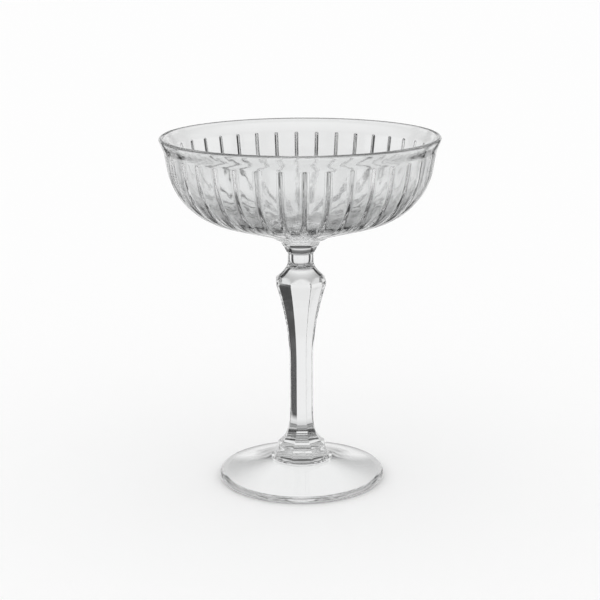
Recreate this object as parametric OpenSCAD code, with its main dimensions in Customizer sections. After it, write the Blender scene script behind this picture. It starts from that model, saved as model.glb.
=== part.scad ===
// Coupe glass with a fluted bowl and a cut stem, as the gathers of glass that are fused to make it.
// Millimetres, +Z up. The origin is the middle of the ring that the foot rests on.
// One flat of the stem and one flute of the bowl face -Y.

/* [Foot] */
// Diameter of the foot
foot_d = 67; // [60:0.5:76]
// Height of the foot where the button sits on it
foot_h = 8.4; // [7:0.1:11]
// Thickness of the foot at its edge
foot_edge_t = 3; // [2.7:0.1:3.5]
// Radius of the polished edge, above and below
foot_edge_round = 1.2; // [0.6:0.05:1.3]
// Slope of the foot's top at its edge, in degrees
foot_edge_slope = 12; // [8:0.5:13]
// Width of the flat ring that the foot rests on
foot_rest_w = 2; // [1.2:0.1:5]
// Thickness of the foot beside the button
foot_plate_t = 3.3; // [2.8:0.1:4]
// Diameter of the domed middle of the underside
hollow_mid_d = 26; // [25:0.5:32]
// Rise of the domed middle of the underside
hollow_crown_h = 1.2; // [0.4:0.1:2]

/* [Button] */
// Height of the eight-sided button between foot and stem
button_h = 5.4; // [4:0.1:7]
// Width of the button's lower face, across flats
button_w = 22.6; // [20.5:0.1:25]

/* [Stem] */
// Height of the stem, from the button to the collar
stem_h = 79.4; // [70:0.5:95]
// Width of the stem where it stands on the button, across flats
stem_base_w = 18.6; // [16:0.1:20]
// Width of the shaft where it is slimmest, across flats
shaft_w = 9.3; // [8:0.1:11]
// Height of the flare at the bottom of the shaft
flare_h = 17; // [13:0.5:20]
// Height of the straight part of the shaft above the flare
shaft_h = 17; // [12:0.5:22]
// Width of the knop at its ridge, across flats
knop_w = 19.8; // [17:0.1:22]
// Distance from the top of the stem down to the knop's ridge
knop_drop = 11.4; // [10.5:0.1:13]
// Height of the sharp ridge round the knop
knop_ridge_h = 1.2; // [0.6:0.1:2]
// Diameter of the round neck above the knop
neck_d = 10.2; // [9:0.1:10.7]
// Height of the round neck above the knop's flats
neck_h = 4; // [3.4:0.1:6]

/* [Collar] */
// Height of the collar between stem and bowl
collar_h = 7.2; // [6.6:0.1:9]
// Diameter of the collar where the bowl sits on it
collar_d = 24; // [21:0.1:28]
// Height of the narrow notch round the top of the neck
notch_h = 0.5; // [0.4:0.05:0.6]
// Depth of the notch
notch_depth = 0.9; // [0.5:0.05:1.1]
// Height of the cove from the notch to the lower ring
cove_h = 0.4; // [0.3:0.05:0.5]
// Diameter of the lower ring at its foot
lower_ring_d = 11.9; // [11.6:0.1:12.3]
// Height of the lower ring
lower_ring_h = 1.8; // [1.5:0.05:1.9]
// How far the lower ring swells out
ring_out = 0.12; // [0.05:0.01:0.2]
// Height of the groove between the two rings
groove_h = 0.35; // [0.3:0.05:0.45]
// Depth of the groove
groove_depth = 0.8; // [0.5:0.05:0.9]
// Diameter of the upper ring at its foot
upper_ring_d = 14.5; // [14.2:0.1:15]
// Height of the upper ring
upper_ring_h = 1.5; // [1.3:0.05:1.6]
// How much wider each ring is at its top than at its foot
ring_flare = 1.3; // [1:0.05:1.5]

/* [Bowl] */
// Height of the bowl, from the collar to the rim
bowl_h = 39.6; // [36:0.1:46]
// Diameter of the rim
rim_d = 110; // [108:0.5:118]
// Diameter of the bowl at the shoulder, where the lip starts
shoulder_d = 106.2; // [100:0.2:107]
// Height of the flared lip above the shoulder
lip_h = 6; // [4:0.1:8]
// Thickness of the wall at the rim
rim_t = 1.9; // [1.2:0.05:2.2]
// Thickness of the wall and of the base between the flutes
wall_t = 2.3; // [1.9:0.05:3]
// Thickness of the level floor inside
floor_t = 3.8; // [3.4:0.1:5]
// Radius of the turn from the base into the wall
corner_r = 27; // [22:0.5:30]
// Rise of the base, in degrees from level
base_angle = 16; // [12:0.5:17]
// Lean of the wall, in degrees from upright
wall_angle = 9.5; // [6:0.5:12]

/* [Flutes] */
// Number of flutes cut round the bowl
flute_count = 38; // [24:1:40]
// Width of a flute where it is widest
flute_w = 1.5; // [0.9:0.05:2.2]
// Depth of a flute where it is deepest
flute_depth = 1; // [0.4:0.05:1.1]
// Length over which a flute rises to nothing below the shoulder
flute_end = 0.8; // [0.4:0.1:2]

/* [Hidden] */

// Heights of the faces where the gathers of glass are fused
button_z = foot_h;
stem_z = button_z + button_h;
collar_z = stem_z + stem_h;
bowl_z = collar_z + collar_h;

// Overrun of a cutter past the face that it opens
over = 1;
// Rows along a curved stretch of an outline
arc_rows = 8;
// Flats of the stem and button
sides = 8;
// Colour and clearness of the glass
glass_tint = "lightcyan";
glass_alpha = 0.5;

// Angles from level, in degrees, of the button at the foot and at the stem, and of the stem's flare
button_foot_angle = 140;
button_top_angle = 110;
stem_base_angle = 148;
upright_angle = 90;

// Points along an arc round c, from one angle to another
function arc(c, r, from, to, rows = arc_rows) =
    [for (i = [0:rows]) let (a = from + (to - from) * i / rows) c + r * [cos(a), sin(a)]];

// Points on a smooth run from p to q, which leaves p and reaches q at the given angles from level
function run(p, q, p_angle, q_angle, rows = arc_rows) =
    let (pull = norm(q - p) / 3)
    let (a = p + pull * [cos(p_angle), sin(p_angle)])
    let (b = q - pull * [cos(q_angle), sin(q_angle)])
    [for (i = [0:rows]) let (t = i / rows, s = 1 - t)
        s * s * s * p + 3 * s * s * t * a + 3 * s * t * t * b + t * t * t * q];

// Points on a rounded ring that swells by out from the line between p and q
function ring(p, q, out, rows = arc_rows) =
    [for (i = [0:rows]) let (t = i / rows) p + (q - p) * t + [out * sin(180 * t), 0]];

// Points that divide the line from p to q, without its ends
function between(p, q, rows) = [for (i = [1:rows - 1]) p + (q - p) * i / rows];

// A list without its first item
function rest(list) = [for (i = [1:len(list) - 1]) list[i]];

// The glass of every gather
module glass() {
    color(glass_tint, glass_alpha) children();
}

// A turned solid with the given [radius, height] outline
module turned(outline) {
    rotate_extrude($fn = 96) polygon(outline);
}

// A cut solid of eight flats with the given [half width, height] outline
module eight_sided(outline) {
    reach = 2 * max([for (p = outline) p.x]);
    mirrored = [for (i = [len(outline) - 1:-1:0]) [-outline[i].x, outline[i].y]];
    intersection_for (i = [0:sides / 2 - 1])
        rotate([90, 0, i * 360 / sides])
            linear_extrude(height = 2 * reach, center = true)
                polygon(concat(outline, mirrored));
}

// Foot: a round plate that rises to the button, hollow beneath so that it rests on a ring.
// The underside runs in line with the top, from the ring that it rests on to a domed middle.
edge_mid_r = foot_d / 2 - foot_edge_round;
edge_top_mid = [edge_mid_r, foot_edge_t - foot_edge_round];
edge_top_end = edge_top_mid + foot_edge_round * [sin(foot_edge_slope), cos(foot_edge_slope)];
// The top of the foot takes in the corners of the button
foot_top = [button_w / 2 / cos(180 / sides), foot_h];
foot_mean_slope = atan((foot_top.y - edge_top_end.y) / (edge_top_end.x - foot_top.x));
foot_top_slope = 2 * foot_mean_slope - foot_edge_slope;
hollow_mid_r = hollow_mid_d / 2;
hollow_mid = [hollow_mid_r,
    foot_h - foot_plate_t / cos(foot_top_slope) - (hollow_mid_r - foot_top.x) * tan(foot_top_slope)];
rest_in = [edge_mid_r - foot_rest_w, 0];

module foot() {
    glass() turned(concat(
        run([0, hollow_mid.y + hollow_crown_h], hollow_mid, 0, -foot_top_slope),
        rest(run(hollow_mid, rest_in, -foot_top_slope, -foot_edge_slope)),
        arc([edge_mid_r, foot_edge_round], foot_edge_round, -90, 0),
        arc(edge_top_mid, foot_edge_round, 0, 90 - foot_edge_slope),
        rest(run(edge_top_end, foot_top, 180 - foot_edge_slope, 180 - foot_top_slope)),
        [[0, foot_h]]));
}

// Button: the short eight-sided skirt that joins the stem to the foot
module button() {
    low = [button_w / 2, 0];
    high = [stem_base_w / 2, button_h];
    translate([0, 0, button_z])
        glass() eight_sided(run(low, high, button_foot_angle, button_top_angle));
}

// Stem: a turned blank with a round neck, cut to eight long flats with a knop near the top
ridge_z = stem_h - knop_drop;
ridge_low = [knop_w / 2, ridge_z - knop_ridge_h / 2];
ridge_high = [knop_w / 2, ridge_z + knop_ridge_h / 2];
neck_r = neck_d / 2;
// The flats stay this far outside the neck, which is round
flat_gap = 0.25;
flats_top = [neck_r + flat_gap, stem_h - neck_h];
// Angles from level, in degrees, of the taper below the knop and of the blank at the knop
knop_low_angle = 73;
blank_angle = 140;

function stem_flats() = concat(
    run([stem_base_w / 2, 0], [shaft_w / 2, flare_h], stem_base_angle, upright_angle),
    run([shaft_w / 2, flare_h + shaft_h], ridge_low, upright_angle, knop_low_angle),
    [ridge_high, flats_top, [flats_top.x, stem_h]]);

function stem_blank() =
    let (blank_r = max(knop_w, stem_base_w) / 2 / cos(180 / sides) + over)
    concat(
        [[0, 0], [blank_r, 0]],
        run([blank_r, ridge_z], [neck_r, flats_top.y + over], blank_angle, upright_angle),
        [[neck_r, stem_h], [0, stem_h]]);

module stem() {
    translate([0, 0, stem_z])
        glass() intersection() {
            eight_sided(stem_flats());
            turned(stem_blank());
        }
}

// Collar: a notch round the neck, a cove, and two rings under the base of the bowl, with a groove
// between the rings
// Height of the plain end of the neck below the notch
neck_end_h = 0.2;
// How far the cove leads out to the lower ring
cove_out = 0.2;
// Angles from level, in degrees, at which the outline enters and leaves the notch, crosses the
// cove, enters and leaves the groove, and leaves the upper ring
notch_low_angle = 155;
notch_high_angle = 63;
cove_low_angle = 64;
cove_high_angle = 80;
groove_low_angle = 134;
groove_high_angle = 48;
collar_top_angle = 41;
collar_end_angle = 58;

module collar() {
    notch_z = neck_end_h + notch_h;
    notch = [neck_r - notch_depth, neck_end_h + notch_h / 2];
    lower = [lower_ring_d / 2, notch_z + cove_h];
    cove = [lower.x - cove_out, notch_z];
    lower_top = lower + [ring_flare / 2, lower_ring_h];
    groove = lower_top + [-groove_depth, groove_h / 2];
    upper = [upper_ring_d / 2, lower_top.y + groove_h];
    upper_top = upper + [ring_flare / 2, upper_ring_h];
    translate([0, 0, collar_z])
        glass() turned(concat(
            [[0, 0]],
            [[neck_r, 0]],
            run([neck_r, neck_end_h], notch, notch_low_angle, 90),
            rest(run(notch, cove, 90, notch_high_angle)),
            rest(run(cove, lower, cove_low_angle, cove_high_angle)),
            rest(ring(lower, lower_top, ring_out)),
            rest(run(lower_top, groove, groove_low_angle, 90)),
            rest(run(groove, upper, 90, groove_high_angle)),
            run(upper_top, [collar_d / 2, collar_h], collar_top_angle, collar_end_angle),
            [[0, collar_h]]));
}

// Bowl: a level floor, a rising base, a round corner, a leaning wall and a flared lip.
// The base line and the wall line meet at corner, which the arc round corner_mid rounds off.
seat = [collar_d / 2, 0];
shoulder = [shoulder_d / 2, bowl_h - lip_h];
base_dir = [cos(base_angle), sin(base_angle)];
base_in = [-base_dir.y, base_dir.x];
wall_dir = [sin(wall_angle), cos(wall_angle)];
wall_in = [-wall_dir.y, wall_dir.x];
corner = seat + base_dir * cross(shoulder - seat, wall_dir) / cross(base_dir, wall_dir);
turn_angle = 90 - base_angle - wall_angle;
corner_mid = corner - base_dir * corner_r * tan(turn_angle / 2) + base_in * corner_r;
lip_angle = 90 - wall_angle;

// The rim is rounded outside and in, with a level band between the rounds
rim_r = rim_d / 2;
rim_round = rim_t / 3;
rim_out = [rim_r - rim_round, bowl_h - rim_round];
rim_in = [rim_r - rim_t + rim_round, bowl_h - rim_round];

// Rows on the straight base and wall, at the end of the flutes, on the lip and on the round of the rim
base_rows = 4;
wall_rows = 3;
end_rows = 4;
lip_rows = 4;
round_rows = 3;

// Arc of the corner, set in from the outside by a thickness
function corner_arc(inset) =
    arc(corner_mid, corner_r - inset, base_angle - 90, -wall_angle);

// Width of a flute as a share of flute_w, against the share of the way out from seat to shoulder
flute_width_share = [[0, 0.35], [0.02, 0.75], [0.3, 1], [1, 1]];
// Length over which a flute starts, beside the collar
flute_start = 0.3;
pitch = 360 / flute_count;

// Each row of the fluted outside is [outline point, outward direction, share of the flute's depth]
function fluted_outline() =
    let (turn = corner_arc(0))
    let (end = shoulder - flute_end * wall_dir)
    concat(
        [[seat, -base_in, 0], [seat + flute_start * base_dir, -base_in, 1]],
        [for (p = between(seat, turn[0], base_rows)) [p, -base_in, 1]],
        [for (p = turn) [p, (p - corner_mid) / corner_r, 1]],
        [for (p = between(turn[arc_rows], end, wall_rows)) [p, -wall_in, 1]],
        [for (i = [0:end_rows]) let (a = 90 * i / end_rows)
            [end + flute_end * sin(a) * wall_dir, -wall_in, i == end_rows ? 0 : cos(a)]]);

// Rows of the plain lip, up to the level band of the rim
function lip_outline() = concat(
    rest(run(shoulder, rim_out + [rim_round, 0], lip_angle, lip_angle, lip_rows)),
    rest(arc(rim_out, rim_round, 0, 90, round_rows)));

// A point of the outline turned to an angle, where 0 faces -Y
function turn_point(p, a) = [p.x * sin(a), -p.x * cos(a), p.y];

function way_out(p) = (p.x - seat.x) / (shoulder.x - seat.x);

// Four points a flute: the bottom of the cut, its edge, the middle of the panel and the next edge
function flute_row(p, out, depth_share) =
    let (width_share = lookup(way_out(p), flute_width_share))
    let (edge = asin(flute_w * width_share / 2 / p.x))
    let (low = p - flute_depth * width_share * depth_share * out)
    [for (i = [0:flute_count - 1]) each [
        turn_point(low, i * pitch),
        turn_point(p, i * pitch + edge),
        turn_point(p, (i + 1 / 2) * pitch),
        turn_point(p, (i + 1) * pitch - edge)]];

module bowl_outside() {
    rows = concat(
        [for (row = fluted_outline()) flute_row(row[0], row[1], row[2])],
        [for (p = lip_outline()) flute_row(p, -wall_in, 0)]);
    n = 4 * flute_count;
    last = (len(rows) - 1) * n;
    sides_of_rows = [for (j = [0:len(rows) - 2], i = [0:n - 1])
        let (a = j * n + i, b = j * n + (i + 1) % n)
        each [[a, a + n, b + n], [a, b + n, b]]];
    polyhedron(
        points = [for (row = rows) each row],
        faces = concat([[for (i = [0:n - 1]) i]], sides_of_rows, [[for (i = [n - 1:-1:0]) last + i]]));
}

// The space inside, with the level floor where the drink stands deepest
function bowl_hollow() =
    let (floor_r = seat.x + (floor_t - wall_t / cos(base_angle)) / tan(base_angle))
    concat(
        [[0, floor_t], [floor_r, floor_t]],
        corner_arc(wall_t),
        run(shoulder + wall_in * wall_t, rim_in - [rim_round, 0], lip_angle, lip_angle, lip_rows),
        rest(arc(rim_in, rim_round, 180, 90, round_rows)),
        [[rim_in.x, bowl_h + over], [0, bowl_h + over]]);

module bowl() {
    translate([0, 0, bowl_z])
        glass() difference() {
            bowl_outside();
            turned(bowl_hollow());
        }
}

bowl();
collar();
stem();
button();
foot();
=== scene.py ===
import math

import bpy
import numpy as np
from mathutils import Matrix, Vector


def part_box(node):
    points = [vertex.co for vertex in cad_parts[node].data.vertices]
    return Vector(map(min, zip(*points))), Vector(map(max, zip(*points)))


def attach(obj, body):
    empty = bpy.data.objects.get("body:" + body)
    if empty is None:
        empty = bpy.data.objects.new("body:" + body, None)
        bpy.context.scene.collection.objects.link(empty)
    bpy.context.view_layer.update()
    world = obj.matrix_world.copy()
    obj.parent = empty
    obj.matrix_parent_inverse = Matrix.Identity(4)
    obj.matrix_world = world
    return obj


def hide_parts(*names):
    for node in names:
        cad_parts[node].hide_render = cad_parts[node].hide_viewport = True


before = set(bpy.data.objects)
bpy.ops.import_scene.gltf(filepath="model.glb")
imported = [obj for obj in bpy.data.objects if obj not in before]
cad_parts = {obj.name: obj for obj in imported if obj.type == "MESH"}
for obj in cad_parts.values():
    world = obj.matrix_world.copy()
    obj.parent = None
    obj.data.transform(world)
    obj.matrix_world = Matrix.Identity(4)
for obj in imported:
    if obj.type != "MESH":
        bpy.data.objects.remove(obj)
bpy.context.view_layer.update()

# Lengths are millimetres and angles are degrees from level, unless a name or a comment says
# otherwise. Meshes are metres.
MM = 0.001

# Foot: its edge, the ring that it rests on, the plate over the hollow, and the hollow
FOOT_EDGE_T = 3.0
FOOT_EDGE_ROUND = 1.2
FOOT_EDGE_SLOPE = 12.0
FOOT_REST_W = 2.0
FOOT_PLATE_T = 3.3
HOLLOW_MID_R = 13.0
HOLLOW_CROWN_H = 1.2

# Button and stem, with half widths across the flats as radii. FLAT_GAP is how far the flats stay
# outside the round neck.
BUTTON_FOOT_ANGLE = 140.0
BUTTON_TOP_ANGLE = 110.0
STEM_BASE_R = 9.3
STEM_BASE_ANGLE = 148.0
SHAFT_R = 4.65
FLARE_H = 17.0
SHAFT_H = 17.0
KNOP_DROP = 11.4
KNOP_LOW_ANGLE = 73.0
KNOP_RIDGE_H = 1.2
NECK_R = 5.1
NECK_H = 4.0
FLAT_GAP = 0.25
STEM_SOFTNESS = 0.25

# Round blank that the stem is cut from: how far it stands outside the knop's edges, its angle
# there, and how far above the start of the neck it has come in to the neck's radius
BLANK_SPARE = 1.0
BLANK_ANGLE = 140.0
BLANK_END_H = 1.0

# Collar: a notch round the top of the neck, a cove, and two rings with a groove between them
NECK_END_H = 0.2
NOTCH_H = 0.5
NOTCH_DEPTH = 0.9
NOTCH_LOW_ANGLE = 155.0
NOTCH_HIGH_ANGLE = 63.0
COVE_H = 0.4
COVE_OUT = 0.2
COVE_LOW_ANGLE = 64.0
COVE_HIGH_ANGLE = 80.0
LOWER_RING_R = 5.95
LOWER_RING_H = 1.8
RING_OUT = 0.12
GROOVE_H = 0.35
GROOVE_DEPTH = 0.8
GROOVE_LOW_ANGLE = 134.0
GROOVE_HIGH_ANGLE = 48.0
UPPER_RING_R = 7.25
UPPER_RING_H = 1.5
RING_FLARE = 0.65
COLLAR_TOP_ANGLE = 41.0
COLLAR_END_ANGLE = 58.0
COLLAR_SOFTNESS = 0.34

# Bowl. WALL_ANGLE is the lean of the wall from upright.
SHOULDER_R = 53.1
LIP_H = 6.0
RIM_T = 1.9
WALL_T = 2.3
FLOOR_T = 3.8
CORNER_R = 27.0
BASE_ANGLE = 16.0
WALL_ANGLE = 9.5
INSIDE_SOFTNESS = 2.0
FLUTES = 38
FLUTE_W = 1.5
FLUTE_DEPTH = 1.0
FLUTE_END = 0.8

FLATS = 8
# Half width of a blank that is too wide to touch the flats
NO_BLANK = 99.0
# Radii of the small flats that close the foot's hollow and the bowl's floor at the axis
FOOT_POLE_R = 0.3
BOWL_POLE_R = 0.4
# Corners that turn by less than this stay as they are
SHARP_TURN = 12.0
# Lengths that are taken to be nothing, in the unit of what is compared
NOTHING = 1e-6
# Upright part of the normal of a face that is taken to be level
LEVEL_FACE = 0.999
# Steps round a turned piece
TURN_STEPS = 192


def node_size(node):
    """Largest radius, lowest and highest level of a CAD node, in millimetres."""
    low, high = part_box(node)
    return high.x / MM, low.z / MM, high.z / MM


FOOT_R, _, FOOT_TOP = node_size("foot")
BUTTON_R, BUTTON_Z, STEM_Z = node_size("button")
KNOP_R, _, COLLAR_Z = node_size("stem")
COLLAR_R, _, BOWL_Z = node_size("collar")
RIM_R, _, RIM_Z = node_size("bowl")


# Outlines are arrays of [radius, height]

def polar(angle):
    a = math.radians(angle)
    return np.array([math.cos(a), math.sin(a)])


def arc(centre, radius, start, end, rows):
    return np.array([np.asarray(centre) + radius * polar(a) for a in np.linspace(start, end, rows + 1)])


def run(p, q, p_angle, q_angle, rows):
    """A smooth run from p to q that leaves p and reaches q at the given angles from level. It is a
    cubic curve whose handles are a third of the way long."""
    p, q = np.asarray(p, float), np.asarray(q, float)
    pull = np.linalg.norm(q - p) / 3
    a, b = p + pull * polar(p_angle), q - pull * polar(q_angle)
    t = np.linspace(0, 1, rows + 1)[:, None]
    s = 1 - t
    return s**3 * p + 3 * s * s * t * a + 3 * s * t * t * b + t**3 * q


def line(p, q, rows):
    return np.linspace(np.asarray(p, float), np.asarray(q, float), rows + 1)


def ring(p, q, out, rows):
    """A rounded ring that swells by out from the line between p and q."""
    pts = line(p, q, rows)
    pts[:, 0] += out * np.sin(np.linspace(0, math.pi, rows + 1))
    return pts


def joined(*stretches):
    """Stretches end to end, without the points that repeat."""
    pts = np.vstack(stretches)
    keep = np.r_[True, np.linalg.norm(np.diff(pts, axis=0), axis=1) > NOTHING]
    return pts[keep]


def softened(outline, reach, rows=4):
    """The outline with each sharp corner turned into a small round, which starts at the reach from
    the corner or halfway to the next point."""
    out = [outline[0]]
    for before, p, after in zip(outline[:-2], outline[1:-1], outline[2:]):
        u, v = before - p, after - p
        lu, lv = np.linalg.norm(u), np.linalg.norm(v)
        turn = math.degrees(math.acos(np.clip(np.dot(-u, v) / (lu * lv), -1, 1)))
        if turn < SHARP_TURN:
            out.append(p)
            continue
        back = min(reach, lu / 2, lv / 2)
        a, b = p + u / lu * back, p + v / lv * back
        for t in np.linspace(0, 1, rows + 1):
            out.append((1 - t) ** 2 * a + 2 * (1 - t) * t * p + t * t * b)
    out.append(outline[-1])
    return np.array(out)


# Meshes

def loft(name, rings):
    """A closed skin through rings of points. The first and last rings are closed by flat faces,
    which are joint faces where the next gather is fused on."""
    rings = np.asarray(rings) * MM
    rows, n = rings.shape[:2]
    verts = rings.reshape(-1, 3)
    faces = []
    for low in range(0, (rows - 1) * n, n):
        high = low + n
        for i in range(n):
            after = (i + 1) % n
            faces.append((low + i, low + after, high + after, high + i))
    faces.append(tuple(range(n - 1, -1, -1)))
    faces.append(tuple(range((rows - 1) * n, rows * n)))
    mesh = bpy.data.meshes.new(name)
    mesh.from_pydata(verts.tolist(), [], faces)
    mesh.validate()
    mesh.polygons.foreach_set("use_smooth", [True] * len(mesh.polygons))
    mesh.update()
    piece = bpy.data.objects.new(name, mesh)
    bpy.context.scene.collection.objects.link(piece)
    return piece


def turned_rings(outline):
    a = np.linspace(0, 2 * math.pi, TURN_STEPS, endpoint=False)
    ring_xy = np.stack([np.sin(a), -np.cos(a)], axis=1)
    return [np.column_stack([ring_xy * r, np.full(TURN_STEPS, z)]) for r, z in outline]


# Places across a flat, as shares of its half width: close together near the edges, so that each
# flat stays flat up to its polished edge
FLAT_SHARES = (-0.985, -0.95, -0.88, -0.7, -0.45, -0.2, 0.0, 0.2, 0.45, 0.7, 0.88, 0.95, 0.985)
# How far the polished edges are taken back
EDGE_EASE = 0.06


def cut_ring(half, blank, z):
    """A ring of the cut stem: eight flats at the given half width, within the round blank."""
    side = math.tan(math.pi / FLATS)
    pts = []
    for k in range(FLATS):
        mid = 2 * math.pi * k / FLATS
        for share in FLAT_SHARES + (1.0,):
            turn = math.atan(share * side)
            r = half / math.cos(turn)
            if share == 1.0:
                r -= EDGE_EASE
            r = min(r, blank)
            a = mid + turn
            pts.append((r * math.sin(a), -r * math.cos(a), z))
    return np.array(pts)


def finished(piece, glass, joint, levels):
    """The piece in glass, with the joint material on the faces that lie in a fused plane."""
    piece.data.materials.append(glass)
    piece.data.materials.append(joint)
    for poly in piece.data.polygons:
        if abs(poly.normal.z) > LEVEL_FACE and any(abs(poly.center.z - z * MM) < NOTHING for z in levels):
            poly.material_index = 1
            poly.use_smooth = False
    return piece


# Foot

def build_foot(glass, joint):
    mid_r = FOOT_R - FOOT_EDGE_ROUND
    top_mid = np.array([mid_r, FOOT_EDGE_T - FOOT_EDGE_ROUND])
    top_end = top_mid + FOOT_EDGE_ROUND * polar(90 - FOOT_EDGE_SLOPE)
    top = np.array([BUTTON_R / math.cos(math.pi / FLATS), FOOT_TOP])
    mean = math.degrees(math.atan((top[1] - top_end[1]) / (top_end[0] - top[0])))
    slope = 2 * mean - FOOT_EDGE_SLOPE
    rise = math.tan(math.radians(slope))
    plate = FOOT_PLATE_T / math.cos(math.radians(slope))
    hollow_mid = [HOLLOW_MID_R, top[1] - plate - (HOLLOW_MID_R - top[0]) * rise]
    hollow_crown = [FOOT_POLE_R, hollow_mid[1] + HOLLOW_CROWN_H]
    hollow_end = [mid_r - FOOT_REST_W, 0]
    outline = joined(
        run(hollow_crown, hollow_mid, 0, -slope, rows=12),
        run(hollow_mid, hollow_end, -slope, -FOOT_EDGE_SLOPE, rows=24),
        line(hollow_end, [mid_r, 0], rows=4),
        arc([mid_r, FOOT_EDGE_ROUND], FOOT_EDGE_ROUND, -90, 0, rows=8),
        arc(top_mid, FOOT_EDGE_ROUND, 0, 90 - FOOT_EDGE_SLOPE, rows=8),
        run(top_end, top, 180 - FOOT_EDGE_SLOPE, 180 - slope, rows=32),
    )
    return finished(loft("glass_foot", turned_rings(outline)), glass, joint, [FOOT_TOP])


# Button and stem

def build_button(glass, joint):
    low = [BUTTON_R, BUTTON_Z]
    high = [STEM_BASE_R, STEM_Z]
    outline = run(low, high, BUTTON_FOOT_ANGLE, BUTTON_TOP_ANGLE, rows=20)
    piece = loft("glass_button", [cut_ring(r, NO_BLANK, z) for r, z in outline])
    return finished(piece, glass, joint, [BUTTON_Z, STEM_Z])


def build_stem(glass, joint):
    top = COLLAR_Z - STEM_Z
    ridge = top - KNOP_DROP
    flats_top = top - NECK_H
    shaft_low = [SHAFT_R, FLARE_H]
    shaft_high = [SHAFT_R, FLARE_H + SHAFT_H]
    knop_low = [KNOP_R, ridge - KNOP_RIDGE_H / 2]
    knop_high = [KNOP_R, ridge + KNOP_RIDGE_H / 2]
    neck_low = [NECK_R + FLAT_GAP, flats_top]
    flats = joined(
        run([STEM_BASE_R, 0], shaft_low, STEM_BASE_ANGLE, 90, rows=40),
        line(shaft_low, shaft_high, rows=6),
        run(shaft_high, knop_low, 90, KNOP_LOW_ANGLE, rows=48),
        line(knop_low, knop_high, rows=2),
        line(knop_high, neck_low, rows=24),
        line(neck_low, [NECK_R + FLAT_GAP, top], rows=16),
    )
    flats = softened(flats, STEM_SOFTNESS)
    blank_r = KNOP_R / math.cos(math.pi / FLATS) + BLANK_SPARE
    blank = joined(
        [[blank_r, 0]],
        run([blank_r, ridge], [NECK_R, flats_top + BLANK_END_H], BLANK_ANGLE, 90, rows=60),
        [[NECK_R, top]],
    )
    blank_at = np.interp(flats[:, 1], blank[:, 1], blank[:, 0])
    piece = loft("glass_stem", [cut_ring(r, b, z + STEM_Z) for (r, z), b in zip(flats, blank_at)])
    return finished(piece, glass, joint, [STEM_Z, COLLAR_Z])


# Collar

def build_collar(glass, joint):
    neck_end = [NECK_R, COLLAR_Z + NECK_END_H]
    notch = [NECK_R - NOTCH_DEPTH, neck_end[1] + NOTCH_H / 2]
    cove = [LOWER_RING_R - COVE_OUT, neck_end[1] + NOTCH_H]
    lower = [LOWER_RING_R, cove[1] + COVE_H]
    lower_top = [LOWER_RING_R + RING_FLARE, lower[1] + LOWER_RING_H]
    groove = [lower_top[0] - GROOVE_DEPTH, lower_top[1] + GROOVE_H / 2]
    upper = [UPPER_RING_R, lower_top[1] + GROOVE_H]
    upper_top = [UPPER_RING_R + RING_FLARE, upper[1] + UPPER_RING_H]
    outline = joined(
        line([NECK_R, COLLAR_Z], neck_end, rows=2),
        run(neck_end, notch, NOTCH_LOW_ANGLE, 90, rows=6),
        run(notch, cove, 90, NOTCH_HIGH_ANGLE, rows=6),
        run(cove, lower, COVE_LOW_ANGLE, COVE_HIGH_ANGLE, rows=6),
        ring(lower, lower_top, RING_OUT, rows=12),
        run(lower_top, groove, GROOVE_LOW_ANGLE, 90, rows=6),
        run(groove, upper, 90, GROOVE_HIGH_ANGLE, rows=6),
        line(upper, upper_top, rows=12),
        run(upper_top, [COLLAR_R, BOWL_Z], COLLAR_TOP_ANGLE, COLLAR_END_ANGLE, rows=16),
    )
    piece = loft("glass_collar", turned_rings(softened(outline, COLLAR_SOFTNESS)))
    return finished(piece, glass, joint, [COLLAR_Z, BOWL_Z])


# Bowl

def bowl_frame():
    """The ends of the fluted outline, the centre of the corner arc between them, and the inward
    directions of the base line and of the wall line."""
    seat = np.array([COLLAR_R, BOWL_Z])
    shoulder = np.array([SHOULDER_R, RIM_Z - LIP_H])
    base = polar(BASE_ANGLE)
    wall = polar(90 - WALL_ANGLE)
    across = base[0] * wall[1] - base[1] * wall[0]
    gap = shoulder - seat
    corner = seat + base * (gap[0] * wall[1] - gap[1] * wall[0]) / across
    turn = math.radians(90 - BASE_ANGLE - WALL_ANGLE)
    base_in = np.array([-base[1], base[0]])
    wall_in = np.array([-wall[1], wall[0]])
    centre = corner - base * CORNER_R * math.tan(turn / 2) + base_in * CORNER_R
    return seat, shoulder, centre, base_in, wall_in


# Width of a flute as a share of FLUTE_W, against the share of the way out from seat to shoulder
FLUTE_WAY_SHARES = (0.0, 0.02, 0.3, 1.0)
FLUTE_WIDTH_SHARES = (0.35, 0.75, 1.0, 1.0)
# Places across one flute and its panel: shares of the flute's half width, then of the panel
CUT_SHARES = (0.0, 0.12, 0.3, 0.55, 0.8, 0.95, 1.1, 1.3)
PANEL_SHARES = (0.12, 0.35, 0.65, 0.88)
# Places along the blunt end of a flute, as shares of its length
END_SHARES = (1.0, 0.8, 0.6, 0.4, 0.25, 0.12, 0.0)
# Share of the base line over which a flute starts
START_SHARE = 0.02
# How soft the bottom and the edges of a flute are, as a share of its half width
CUT_SOFTNESS = 0.12


def cut_depth(share):
    """Depth across a V-cut, 1 at its bottom and 0 beyond its edge, with polished edges."""
    s = math.sqrt(share * share + CUT_SOFTNESS**2) - CUT_SOFTNESS
    return CUT_SOFTNESS * math.log1p(math.exp((1 - s) / CUT_SOFTNESS))


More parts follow.
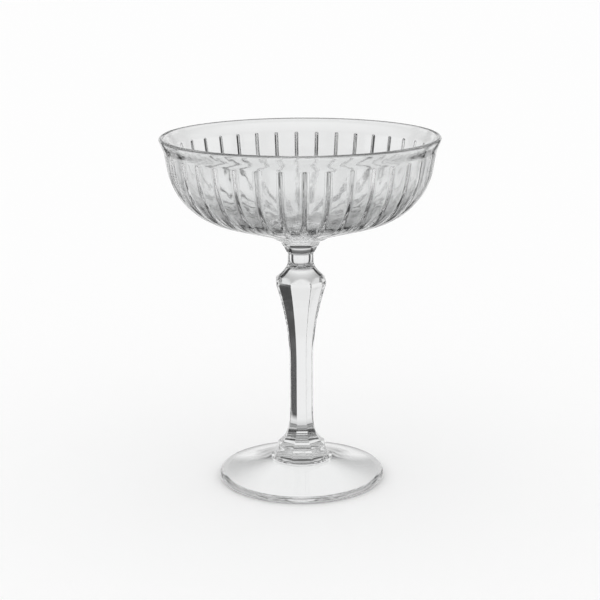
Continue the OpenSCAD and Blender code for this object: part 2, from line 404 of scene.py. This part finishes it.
def fluted_ring(p, out, half, depth):
    """A ring of the bowl, with flutes that take up the half angle on either side of their bottom."""
    pitch = 2 * math.pi / FLUTES
    places = []
    for share in CUT_SHARES:
        places.append((half * share, depth * cut_depth(share)))
    side = half * CUT_SHARES[-1]
    for share in PANEL_SHARES:
        a = side + (pitch - 2 * side) * share
        places.append((a, 0.0))
    for share in reversed(CUT_SHARES[1:]):
        places.append((pitch - half * share, depth * cut_depth(share)))
    pts = []
    for k in range(FLUTES):
        for a, d in places:
            r, z = p - d * out
            pts.append((r * math.sin(a + k * pitch), -r * math.cos(a + k * pitch), z))
    return np.array(pts)


def build_bowl(glass, joint):
    seat, shoulder, centre, base_in, wall_in = bowl_frame()
    low = arc(centre, CORNER_R, BASE_ANGLE - 90, -WALL_ANGLE, rows=40)
    wall_l = np.linalg.norm(shoulder - low[-1])
    ends = [shoulder + (low[-1] - shoulder) * FLUTE_END * share / wall_l for share in END_SHARES]
    start = seat + (low[0] - seat) * START_SHARE
    base_points = joined([seat], start, line(seat, low[0], rows=16)[1:-1])
    wall_points = joined(line(low[-1], ends[0], rows=12)[1:], ends)
    rows = [(p, -base_in) for p in base_points]
    rows += [(p, (p - centre) / CORNER_R) for p in low]
    rows += [(p, -wall_in) for p in wall_points]
    rings = []
    for p, out in rows:
        way = (p[0] - seat[0]) / (shoulder[0] - seat[0])
        width = np.interp(way, FLUTE_WAY_SHARES, FLUTE_WIDTH_SHARES)
        to_end = np.linalg.norm(shoulder - p) / FLUTE_END
        fade = 0.0 if way == 0.0 else math.sqrt(1 - (1 - min(to_end, 1)) ** 2)
        half = math.asin(FLUTE_W * width / 2 / p[0])
        rings.append(fluted_ring(p, out, half, FLUTE_DEPTH * width * fade))
    rim_round = RIM_T / 2
    lip_angle = 90 - WALL_ANGLE
    rim_mid = np.array([RIM_R - rim_round, RIM_Z - rim_round])
    lip = joined(
        run(shoulder, rim_mid + [rim_round, 0], lip_angle, lip_angle, rows=16)[1:],
        arc(rim_mid, rim_round, 0, 180, rows=16),
        run(shoulder + wall_in * WALL_T, rim_mid - [rim_round, 0], lip_angle, lip_angle, rows=16)[::-1],
    )
    inner_wall = arc(centre, CORNER_R - WALL_T, BASE_ANGLE - 90, -WALL_ANGLE, rows=40)[::-1]
    floor_z = BOWL_Z + FLOOR_T
    base_turn = math.radians(BASE_ANGLE)
    floor_r = seat[0] + (FLOOR_T - WALL_T / math.cos(base_turn)) / math.tan(base_turn)
    inside = joined(
        lip[-1:],
        line(lip[-1], inner_wall[0], rows=6),
        inner_wall,
        line(inner_wall[-1], [floor_r, floor_z], rows=8),
        line([floor_r, floor_z], [BOWL_POLE_R, floor_z], rows=10),
    )
    plain = joined(lip, softened(inside, INSIDE_SOFTNESS, rows=6))
    end_half = math.asin(FLUTE_W / 2 / shoulder[0])
    rings += [fluted_ring(p, -wall_in, end_half, 0.0) for p in plain]
    return finished(loft("glass_bowl", rings), glass, joint, [BOWL_Z])


# Materials

GLASS_IOR = 1.51
# Roughness and waviness: the bowl is wavier and softer than the other pieces
BOWL_FINISH = (0.06, 0.3)
STEM_FINISH = (0.02, 0.05)
WAVES_PER_METRE = 120.0
WAVE_DETAIL = 2.0
# Height of the waves, in metres
WAVE_HEIGHT = 0.0005
TINT_LOW = (0.90, 0.905, 0.905, 1)
TINT_HIGH = (0.93, 0.935, 0.935, 1)


class Nodes:
    """Short calls that fill the empty node tree of a material or a world."""

    def __init__(self, owner):
        owner.use_nodes = True
        self.tree = owner.node_tree
        self.tree.nodes.clear()

    def add(self, kind, **settings):
        node = self.tree.nodes.new(kind)
        for name, value in settings.items():
            setattr(node, name, value)
        return node

    def plug(self, socket, value):
        if isinstance(value, (int, float)):
            socket.default_value = value
        else:
            self.tree.links.new(value, socket)

    def math(self, operation, *values):
        node = self.add("ShaderNodeMath", operation=operation)
        for socket, value in zip(node.inputs, values):
            self.plug(socket, value)
        return node.outputs[0]

    def step(self, value, start, end):
        """0 below start, 1 above end."""
        node = self.add("ShaderNodeMapRange")
        self.plug(node.inputs["Value"], value)
        self.plug(node.inputs["From Min"], start)
        self.plug(node.inputs["From Max"], end)
        return node.outputs["Result"]

    def ramp(self, value, stops):
        node = self.add("ShaderNodeValToRGB")
        self.plug(node.inputs["Fac"], value)
        marks = node.color_ramp.elements
        # A new mark may start anywhere, since each is given its place below
        while len(marks) < len(stops):
            marks.new(0.5)
        for mark, (place, level) in zip(marks, stops):
            mark.position = place
            mark.color = (level, level, level, 1)
        return node.outputs["Color"]

    def screens(self, x, y, cards_on):
        """1 towards a white screen and 0 towards a dark card, by compass bearing."""
        bearing = self.math("DEGREES", self.math("ARCTAN2", x, y))
        off_corner = self.math("PINGPONG", self.math("ADD", bearing, CORNER_BEARING), CORNER_BEARING)
        inner = self.step(off_corner, CARD_INNER - CARD_EDGE, CARD_INNER + CARD_EDGE)
        outer = self.step(off_corner, CARD_OUTER + CARD_EDGE, CARD_OUTER - CARD_EDGE)
        card = self.math("MULTIPLY", self.math("MULTIPLY", inner, outer), cards_on)
        return self.math("SUBTRACT", 1.0, self.math("MULTIPLY", card, 1 - CARD_LEVEL))

    def seen_by_glass(self):
        path = self.add("ShaderNodeLightPath")
        return self.math("MAXIMUM", path.outputs["Is Transmission Ray"], path.outputs["Is Glossy Ray"])


def glass_material(name, roughness, waviness):
    """Clear polished glass, with the faint waviness and uneven tint of worked glass."""
    m = bpy.data.materials.new(name)
    n = Nodes(m)
    out = n.add("ShaderNodeOutputMaterial")
    glass = n.add("ShaderNodeBsdfPrincipled")
    glass.inputs["Transmission Weight"].default_value = 1.0
    glass.inputs["IOR"].default_value = GLASS_IOR
    glass.inputs["Roughness"].default_value = roughness
    waves = n.add("ShaderNodeTexNoise")
    waves.inputs["Scale"].default_value = WAVES_PER_METRE
    waves.inputs["Detail"].default_value = WAVE_DETAIL
    tint = n.add("ShaderNodeMix", data_type="RGBA")
    tint.inputs["A"].default_value = TINT_LOW
    tint.inputs["B"].default_value = TINT_HIGH
    bump = n.add("ShaderNodeBump")
    bump.inputs["Strength"].default_value = waviness
    bump.inputs["Distance"].default_value = WAVE_HEIGHT
    n.plug(waves.inputs["Vector"], n.add("ShaderNodeTexCoord").outputs["Object"])
    n.plug(tint.inputs["Factor"], waves.outputs["Fac"])
    n.plug(glass.inputs["Base Color"], tint.outputs["Result"])
    n.plug(bump.inputs["Height"], waves.outputs["Fac"])
    n.plug(glass.inputs["Normal"], bump.outputs["Normal"])
    n.plug(out.inputs["Surface"], glass.outputs["BSDF"])
    return m


def joint_material():
    """The faces where two gathers are fused: light goes straight through."""
    m = bpy.data.materials.new("fused_joint")
    n = Nodes(m)
    out = n.add("ShaderNodeOutputMaterial")
    n.plug(out.inputs["Surface"], n.add("ShaderNodeBsdfTransparent").outputs["BSDF"])
    return m


# Stage

# What the glass sees round it, in degrees and in levels from black to white. Dark cards stand in a pair
# at each corner of the table, between white screens. To the glass the table is plain white straight down;
# at a shallow angle it shows a painted reflection of the white screens, and between these it is painted
# dark.
CARD_INNER = 7.0
CARD_OUTER = 18.2
CARD_EDGE = 0.8
CARD_TOP = 20.0
CARD_FADE = 1.0
CORNER_BEARING = 45.0
CARD_LEVEL = 0.04
SCREEN_LEVEL = 0.92
FLOOR_LEVEL = 0.985
# Places are sines of the height above the horizon, each with its level
SKY_STOPS = ((0.0, SCREEN_LEVEL), (0.12, SCREEN_LEVEL), (0.20, 0.20), (0.30, 0.10), (0.42, 0.10),
             (0.66, 0.95), (1.0, 0.95))
# Places are the table's facing shares, 0 straight down and 1 along the table, each with its level
TABLE_STOPS = ((0.0, 0.90), (0.03, 0.90), (0.08, 0.03), (0.22, 0.03), (0.36, 0.35), (0.50, 0.70),
               (0.60, 0.92), (0.72, SCREEN_LEVEL))
# Blend at which the facing share is one less the cosine of the angle to the table's upright
FACING_BLEND = 0.5
# Distances from the axis, in metres, between which the painted reflection of the cards begins to show in
# the table
CARD_NEAR = 0.05
CARD_FAR = 0.07
WORLD_COLOR = (1, 1, 1, 1)
WORLD_STRENGTH = 1.0
# Half side of the floor and its gap under the foot, in metres
FLOOR_HALF = 4.0
FLOOR_GAP = 0.0001


def floor_material():
    """Plain white to the camera. What the glass sees in it is a painted reflection of the screens and
    cards, which follows TABLE_STOPS and the cards.
    """
    m = bpy.data.materials.new("floor_white_with_painted_reflection")
    n = Nodes(m)
    out = n.add("ShaderNodeOutputMaterial")
    matte = n.add("ShaderNodeBsdfDiffuse")
    matte.inputs["Color"].default_value = (FLOOR_LEVEL, FLOOR_LEVEL, FLOOR_LEVEL, 1)
    where = n.add("ShaderNodeSeparateXYZ")
    n.plug(where.inputs[0], n.add("ShaderNodeTexCoord").outputs["Object"])
    x, y = where.outputs["X"], where.outputs["Y"]
    away = n.math("SQRT", n.math("ADD", n.math("MULTIPLY", x, x), n.math("MULTIPLY", y, y)))
    facing = n.add("ShaderNodeLayerWeight")
    facing.inputs["Blend"].default_value = FACING_BLEND
    level = n.ramp(facing.outputs["Facing"], TABLE_STOPS)
    # Painted reflection: to the glass the floor glows with what a glossy table would show, dark at middle
    # angles, with the cards past CARD_NEAR
    shown = n.add("ShaderNodeEmission")
    n.plug(shown.inputs["Color"], level)
    n.plug(shown.inputs["Strength"], n.screens(x, y, n.step(away, CARD_NEAR, CARD_FAR)))
    mix = n.add("ShaderNodeMixShader")
    n.plug(mix.inputs["Fac"], n.seen_by_glass())
    n.plug(mix.inputs[1], matte.outputs["BSDF"])
    n.plug(mix.inputs[2], shown.outputs["Emission"])
    n.plug(out.inputs["Surface"], mix.outputs["Shader"])
    return m


def build_world():
    """Plain white to the camera. What the glass sees in it follows SKY_STOPS and the cards."""
    world = bpy.data.worlds.new("studio")
    bpy.context.scene.world = world
    n = Nodes(world)
    out = n.add("ShaderNodeOutputWorld")
    way = n.add("ShaderNodeSeparateXYZ")
    n.plug(way.inputs[0], n.add("ShaderNodeTexCoord").outputs["Generated"])
    x, y, z = way.outputs
    card_end = math.sin(math.radians(CARD_TOP))
    card_full = math.sin(math.radians(CARD_TOP - CARD_FADE))
    shown = n.add("ShaderNodeBackground")
    n.plug(shown.inputs["Color"], n.ramp(z, SKY_STOPS))
    n.plug(shown.inputs["Strength"], n.screens(x, y, n.step(z, card_end, card_full)))
    plain = n.add("ShaderNodeBackground")
    plain.inputs["Color"].default_value = WORLD_COLOR
    plain.inputs["Strength"].default_value = WORLD_STRENGTH
    mix = n.add("ShaderNodeMixShader")
    n.plug(mix.inputs["Fac"], n.seen_by_glass())
    n.plug(mix.inputs[1], plain.outputs["Background"])
    n.plug(mix.inputs[2], shown.outputs["Background"])
    n.plug(out.inputs["Surface"], mix.outputs["Shader"])


def build_stage():
    mesh = bpy.data.meshes.new("floor")
    s = FLOOR_HALF
    z = -FLOOR_GAP
    mesh.from_pydata([(-s, -s, z), (s, -s, z), (s, s, z), (-s, s, z)], [], [(0, 1, 2, 3)])
    floor = bpy.data.objects.new("floor", mesh)
    bpy.context.scene.collection.objects.link(floor)
    mesh.materials.append(floor_material())


# Enough that light which is reflected many times within the glass still gets out
BOUNCES = 32

# Camera: where the photographer stood, in millimetres from the glass's axis and above the table
CAMERA_AWAY = 582.0
CAMERA_UP = 220.0
CAMERA_ROUND = 1.7
CAMERA_PITCH = 14.1
CAMERA_ROLL = 0.3
CAMERA_SHIFT = -0.0015
LENS = 90.0
SENSOR_W = 36.0


def build_camera():
    data = bpy.data.cameras.new("camera")
    data.lens = LENS
    data.sensor_width = SENSOR_W
    data.shift_x = CAMERA_SHIFT
    camera = bpy.data.objects.new("camera", data)
    bpy.context.scene.collection.objects.link(camera)
    turn = math.radians(CAMERA_ROUND)
    away = Vector((-math.sin(turn), -math.cos(turn), 0)) * CAMERA_AWAY * MM
    camera.matrix_world = (
        Matrix.Translation(away + Vector((0, 0, CAMERA_UP * MM)))
        @ Matrix.Rotation(-turn, 4, "Z")
        @ Matrix.Rotation(math.radians(90 - CAMERA_PITCH), 4, "X")
        @ Matrix.Rotation(math.radians(-CAMERA_ROLL), 4, "Z")
    )
    bpy.context.scene.camera = camera


bowl_glass = glass_material("clear_glass_bowl", *BOWL_FINISH)
stem_glass = glass_material("clear_glass_stem", *STEM_FINISH)
joint = joint_material()
pieces = {
    "foot": build_foot(stem_glass, joint),
    "button": build_button(stem_glass, joint),
    "stem": build_stem(stem_glass, joint),
    "collar": build_collar(stem_glass, joint),
    "bowl": build_bowl(bowl_glass, joint),
}
for node, piece in pieces.items():
    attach(piece, "root")
    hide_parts(node)
build_world()
build_stage()
build_camera()
bpy.context.scene.view_settings.view_transform = "Standard"
bpy.context.scene.cycles.max_bounces = BOUNCES
bpy.context.scene.cycles.glossy_bounces = BOUNCES
bpy.context.scene.cycles.transmission_bounces = BOUNCES
